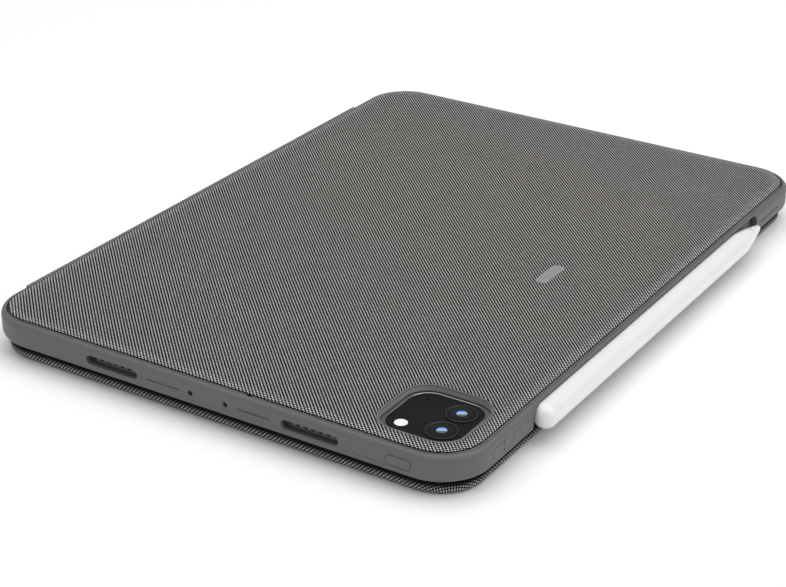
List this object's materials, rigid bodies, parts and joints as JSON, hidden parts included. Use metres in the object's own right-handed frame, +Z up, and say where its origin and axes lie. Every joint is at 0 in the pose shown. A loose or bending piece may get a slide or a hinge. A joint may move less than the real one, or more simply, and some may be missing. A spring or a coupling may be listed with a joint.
{
  "type": "tablet keyboard case",
  "caption": "Woven-cloth keyboard case for a tablet, shut: keyboard deck, folding spine, bumper with sound slots and camera window, creased kickstand back, tablet and stylus.",
  "frame": {"origin": "centre of the keyboard deck's underside, the face that the shut case lies on", "axes": "+X along the long side towards the charging port, +Y towards the spine, +Z up to the back of the case"},
  "size_m": [0.2521, 0.1928, 0.0149],
  "materials": {
    "woven_cloth": "two-tone woven cloth, light and dark threads, about 1 mm pitch",
    "bumper": "soft-touch moulded rim, fine grain",
    "dark_plastic": "moulded plastic, fine grain",
    "keycap": "matt keycap plastic",
    "board": "green circuit board",
    "pale_film": "thin pale film",
    "steel": "plain steel and magnet plating",
    "gold": "gold-plated contacts",
    "suede": "soft flocked lining",
    "tablet_metal": "blasted and anodised dark grey",
    "dark_glass": "polished opaque black glass",
    "white_plastic": "smooth white plastic"
  },
  "bodies": {
    "deck": {"deck_outer_fabric": "woven_cloth", "deck_shell": "dark_plastic", "deck_top_plate": "dark_plastic", "deck_top_fabric": "woven_cloth", "backlight_sheet": "pale_film", "switch_sheet": "board", "controller_board": "board", "deck_magnet_left": "steel", "deck_magnet_right": "steel", "trackpad_board": "board", "trackpad_switch": "steel"},
    "function_keys_row": {"function_keys": "keycap"},
    "number_keys_row": {"number_keys": "keycap"},
    "upper_letter_keys_row": {"upper_letter_keys": "keycap"},
    "home_keys_row": {"home_keys": "keycap"},
    "lower_letter_keys_row": {"lower_letter_keys": "keycap"},
    "left_modifier_keys_row": {"left_modifier_keys": "keycap"},
    "space_bar_row": {"space_bar": "keycap"},
    "right_modifier_keys_row": {"right_modifier_keys": "keycap"},
    "arrow_keys_row": {"arrow_keys": "keycap"},
    "trackpad_plate": {"trackpad": "dark_plastic"},
    "spine": {"spine_strip": "woven_cloth"},
    "keyboard_bar": {"spine_bar": "dark_plastic", "spine_magnet_left": "steel", "spine_magnet_right": "steel", "connector_block": "dark_plastic", "contact_pin_1": "gold", "contact_pin_2": "gold", "contact_pin_3": "gold"},
    "case": {"bumper_frame": "bumper", "keeper_plate_left": "steel", "keeper_plate_right": "steel", "case_contacts": "gold", "case_liner": "suede", "back_panel": "dark_plastic", "upper_back_fabric": "woven_cloth", "back_badge": "pale_film", "hinge_leaf_fixed_left": "steel", "hinge_leaf_fixed_right": "steel", "hinge_pin_left": "steel", "hinge_pin_right": "steel", "tablet_body": "tablet_metal", "tablet_screen": "dark_glass", "camera_island": "dark_glass", "camera_lens_1": "dark_glass", "camera_lens_2": "dark_glass", "camera_flash": "white_plastic", "depth_sensor": "dark_glass"},
    "kickstand": {"kickstand_plate": "dark_plastic", "kickstand_fabric": "woven_cloth", "hinge_leaf_moving_left": "steel", "hinge_leaf_moving_right": "steel"},
    "power_pad": {"power_button": "bumper"},
    "volume_up_pad": {"volume_up_button": "bumper"},
    "volume_down_pad": {"volume_down_button": "bumper"},
    "stylus": {"stylus_barrel": "white_plastic", "stylus_tip": "white_plastic"}
  },
  "joints": [
    {"name": "deck_fold", "type": "hinge", "parent": "deck", "child": "spine", "pos_m": [0, 0.0924, 0.0024], "axis": [-1, 0, 0], "range_deg": [0, 68]},
    {"name": "case_fold", "type": "hinge", "parent": "spine", "child": "keyboard_bar", "pos_m": [0, 0.0951, 0.009], "axis": [-1, 0, 0], "range_deg": [0, 82]},
    {"name": "keyboard_release", "type": "slide", "parent": "keyboard_bar", "child": "case", "axis": [0, -1, 0], "range_m": [0, 0.02]},
    {"name": "kickstand_hinge", "type": "hinge", "parent": "case", "child": "kickstand", "pos_m": [0, -0.0158, 0.01405], "axis": [1, 0, 0], "range_deg": [0, 120]},
    {"name": "stylus_release", "type": "slide", "parent": "case", "child": "stylus", "axis": [0, -1, 0], "range_m": [0, 0.03]},
    {"name": "power_press", "type": "slide", "parent": "case", "child": "power_pad", "axis": [1, 0, 0], "range_m": [0, 0.0004], "stiffness_N_per_m": 4000, "springref_m": -0.0002},
    {"name": "volume_up_press", "type": "slide", "parent": "case", "child": "volume_up_pad", "axis": [0, 1, 0], "range_m": [0, 0.0004], "stiffness_N_per_m": 4000, "springref_m": -0.0002},
    {"name": "volume_down_press", "type": "slide", "parent": "case", "child": "volume_down_pad", "axis": [0, 1, 0], "range_m": [0, 0.0004], "stiffness_N_per_m": 4000, "springref_m": -0.0002},
    {"name": "trackpad_click", "type": "slide", "parent": "deck", "child": "trackpad_plate", "axis": [0, 0, -1], "range_m": [0, 0.00025], "stiffness_N_per_m": 4000, "springref_m": -0.0002},
    {"name": "function_keys_press", "type": "slide", "parent": "deck", "child": "function_keys_row", "axis": [0, 0, -1], "range_m": [0, 0.0008], "stiffness_N_per_m": 600, "springref_m": -0.0008},
    {"name": "number_keys_press", "type": "slide", "parent": "deck", "child": "number_keys_row", "axis": [0, 0, -1], "range_m": [0, 0.0008], "stiffness_N_per_m": 600, "springref_m": -0.0008},
    {"name": "upper_letter_keys_press", "type": "slide", "parent": "deck", "child": "upper_letter_keys_row", "axis": [0, 0, -1], "range_m": [0, 0.0008], "stiffness_N_per_m": 600, "springref_m": -0.0008},
    {"name": "home_keys_press", "type": "slide", "parent": "deck", "child": "home_keys_row", "axis": [0, 0, -1], "range_m": [0, 0.0008], "stiffness_N_per_m": 600, "springref_m": -0.0008},
    {"name": "lower_letter_keys_press", "type": "slide", "parent": "deck", "child": "lower_letter_keys_row", "axis": [0, 0, -1], "range_m": [0, 0.0008], "stiffness_N_per_m": 600, "springref_m": -0.0008},
    {"name": "left_modifier_keys_press", "type": "slide", "parent": "deck", "child": "left_modifier_keys_row", "axis": [0, 0, -1], "range_m": [0, 0.0008], "stiffness_N_per_m": 600, "springref_m": -0.0008},
    {"name": "space_bar_press", "type": "slide", "parent": "deck", "child": "space_bar_row", "axis": [0, 0, -1], "range_m": [0, 0.0008], "stiffness_N_per_m": 600, "springref_m": -0.0008},
    {"name": "right_modifier_keys_press", "type": "slide", "parent": "deck", "child": "right_modifier_keys_row", "axis": [0, 0, -1], "range_m": [0, 0.0008], "stiffness_N_per_m": 600, "springref_m": -0.0008},
    {"name": "arrow_keys_press", "type": "slide", "parent": "deck", "child": "arrow_keys_row", "axis": [0, 0, -1], "range_m": [0, 0.0008], "stiffness_N_per_m": 600, "springref_m": -0.0008}
  ]
}
